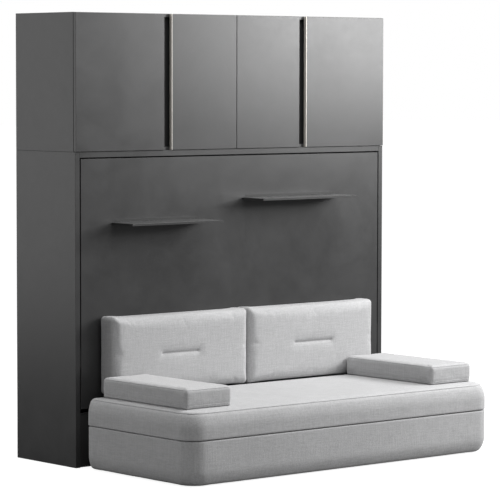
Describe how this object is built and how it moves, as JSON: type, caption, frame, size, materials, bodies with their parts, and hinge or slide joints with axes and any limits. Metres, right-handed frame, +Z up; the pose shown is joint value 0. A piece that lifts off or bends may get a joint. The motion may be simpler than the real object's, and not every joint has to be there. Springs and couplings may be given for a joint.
{
  "type": "horizontal wall bed with overhead cabinet and sofa",
  "caption": "Fold-down wall bed in a dark cabinet with an overhead cupboard, self-levelling shelves and a sofa in front; doors and bed open.",
  "frame": {"origin": "on the floor, under the centre of the whole object's box: mid-width of the cabinet, midway between the wall face and the front of the sofa", "axes": "+X to the right of someone facing the bed, +Y towards the wall behind it, +Z up"},
  "size_m": [2.2, 1.4854, 2.4],
  "materials": {
    "anthracite_lacquer": "matt anthracite lacquer on board, soft sheen",
    "dark_board": "plain dark melamine inside the cabinets",
    "champagne_aluminium": "brushed champagne anodised profile",
    "black_steel": "black powder coat",
    "bright_steel": "zinc plated or ground steel",
    "sofa_fabric": "light grey linen weave with piped seams",
    "mattress_cloth": "off-white quilted ticking",
    "birch": "clear lacquered birch",
    "webbing": "woven black webbing"
  },
  "bodies": {
    "cabinet": {"centre_divider": "anthracite_lacquer", "finger_recess_board_left": "dark_board", "finger_recess_board_right": "dark_board", "kick_panel": "anthracite_lacquer", "lower_back": "dark_board", "lower_floor_board": "dark_board", "lower_side_left": "anthracite_lacquer", "lower_side_right": "anthracite_lacquer", "lower_top": "anthracite_lacquer", "seat_cushion": "sofa_fabric", "sofa_base": "sofa_fabric", "upper_back": "dark_board", "upper_bottom": "anthracite_lacquer", "upper_shelf_left": "dark_board", "upper_shelf_right": "dark_board", "upper_side_left": "anthracite_lacquer", "upper_side_right": "anthracite_lacquer", "upper_top": "anthracite_lacquer", "wall_plate_left": "black_steel", "wall_plate_right": "black_steel"},
    "arm_left": {"arm_cushion_left": "sofa_fabric"},
    "arm_right": {"arm_cushion_right": "sofa_fabric"},
    "bed": {"back_cushion_left": "sofa_fabric", "back_cushion_right": "sofa_fabric", "bed_front_panel": "anthracite_lacquer", "bed_plate_left": "black_steel", "bed_plate_right": "black_steel", "bed_rail_left": "anthracite_lacquer", "bed_rail_lower": "anthracite_lacquer", "bed_rail_right": "anthracite_lacquer", "bed_rail_upper": "anthracite_lacquer", "mattress": "mattress_cloth", "mattress_strap_left": "webbing", "mattress_strap_right": "webbing", "pivot_pin_left": "bright_steel", "pivot_pin_right": "bright_steel", "slatted_base": "birch"},
    "door_1": {"door_1": "anthracite_lacquer", "door_1_hinge_cup_high": "bright_steel", "door_1_hinge_cup_low": "bright_steel"},
    "door_2": {"door_2": "anthracite_lacquer", "door_2_handle_profile": "champagne_aluminium", "door_2_hinge_cup_high": "bright_steel", "door_2_hinge_cup_low": "bright_steel"},
    "door_3": {"door_3": "anthracite_lacquer", "door_3_hinge_cup_high": "bright_steel", "door_3_hinge_cup_low": "bright_steel"},
    "door_4": {"door_4": "anthracite_lacquer", "door_4_handle_profile": "champagne_aluminium", "door_4_hinge_cup_high": "bright_steel", "door_4_hinge_cup_low": "bright_steel"},
    "leg_left": {"fold_leg_left": "black_steel"},
    "leg_right": {"fold_leg_right": "black_steel"},
    "shelf_left": {"levelling_shelf_left": "anthracite_lacquer"},
    "shelf_right": {"levelling_shelf_right": "anthracite_lacquer"},
    "strut_cylinder_left": {"gas_strut_cylinder_left": "black_steel"},
    "strut_cylinder_right": {"gas_strut_cylinder_right": "black_steel"},
    "strut_rod_left": {"gas_strut_rod_left": "bright_steel"},
    "strut_rod_right": {"gas_strut_rod_right": "bright_steel"}
  },
  "joints": [
    {"name": "bed_fold", "type": "hinge", "parent": "cabinet", "child": "bed", "pos_m": [0, 0.24125, 0.575], "axis": [1, 0, 0], "range_deg": [0, 90]},
    {"name": "door_1_swing", "type": "hinge", "parent": "cabinet", "child": "door_1", "pos_m": [-1.0988, 0.20525, 1.6688], "axis": [0, 0, -1], "range_deg": [0, 105]},
    {"name": "door_2_swing", "type": "hinge", "parent": "cabinet", "child": "door_2", "pos_m": [-0.0015, 0.20525, 1.6688], "axis": [0, 0, 1], "range_deg": [0, 90]},
    {"name": "door_3_swing", "type": "hinge", "parent": "cabinet", "child": "door_3", "pos_m": [0.0015, 0.20525, 1.6688], "axis": [0, 0, -1], "range_deg": [0, 90]},
    {"name": "door_4_swing", "type": "hinge", "parent": "cabinet", "child": "door_4", "pos_m": [1.0988, 0.20525, 1.6688], "axis": [0, 0, 1], "range_deg": [0, 105]},
    {"name": "shelf_left_level", "type": "hinge", "parent": "bed", "child": "shelf_left", "pos_m": [-0.549, 0.20525, 1.29], "axis": [1, 0, 0], "range_deg": [-90, 0]},
    {"name": "leg_left_plumb", "type": "hinge", "parent": "bed", "child": "leg_left", "pos_m": [-1.0665, 0.25125, 1.612], "axis": [1, 0, 0], "range_deg": [-90, 0]},
    {"name": "strut_left_swing", "type": "hinge", "parent": "cabinet", "child": "strut_cylinder_left", "pos_m": [-1.0465, 0.54125, 1.02], "axis": [1, 0, 0], "range_deg": [0, 5.43]},
    {"name": "strut_left_stroke", "type": "slide", "parent": "strut_cylinder_left", "child": "strut_rod_left", "axis": [0, 0.4075, 0.9132], "range_m": [0, 0.2247]},
    {"name": "arm_left_slide", "type": "slide", "parent": "cabinet", "child": "arm_left", "axis": [0, -1, 0], "range_m": [0, 0.1002]},
    {"name": "shelf_right_level", "type": "hinge", "parent": "bed", "child": "shelf_right", "pos_m": [0.395, 0.20525, 1.398], "axis": [1, 0, 0], "range_deg": [-90, 0]},
    {"name": "leg_right_plumb", "type": "hinge", "parent": "bed", "child": "leg_right", "pos_m": [1.0665, 0.25125, 1.612], "axis": [1, 0, 0], "range_deg": [-90, 0]},
    {"name": "strut_right_swing", "type": "hinge", "parent": "cabinet", "child": "strut_cylinder_right", "pos_m": [1.0465, 0.54125, 1.02], "axis": [1, 0, 0], "range_deg": [0, 5.43]},
    {"name": "strut_right_stroke", "type": "slide", "parent": "strut_cylinder_right", "child": "strut_rod_right", "axis": [0, 0.4075, 0.9132], "range_m": [0, 0.2247]},
    {"name": "arm_right_slide", "type": "slide", "parent": "cabinet", "child": "arm_right", "axis": [0, -1, 0], "range_m": [0, 0.1002]}
  ],
  "couplings": [
    {"joint": "shelf_left_level", "follows": "bed_fold", "ratio": -1},
    {"joint": "leg_left_plumb", "follows": "bed_fold", "ratio": -1},
    {"joint": "strut_left_swing", "follows": "bed_fold", "ratio": 0.060095},
    {"joint": "strut_left_stroke", "follows": "bed_fold", "m_per_rad": 0.14294},
    {"joint": "arm_left_slide", "follows": "bed_fold", "m_per_rad": 0.063662},
    {"joint": "shelf_right_level", "follows": "bed_fold", "ratio": -1},
    {"joint": "leg_right_plumb", "follows": "bed_fold", "ratio": -1},
    {"joint": "strut_right_swing", "follows": "bed_fold", "ratio": 0.060095},
    {"joint": "strut_right_stroke", "follows": "bed_fold", "m_per_rad": 0.14294},
    {"joint": "arm_right_slide", "follows": "bed_fold", "m_per_rad": 0.063662}
  ]
}
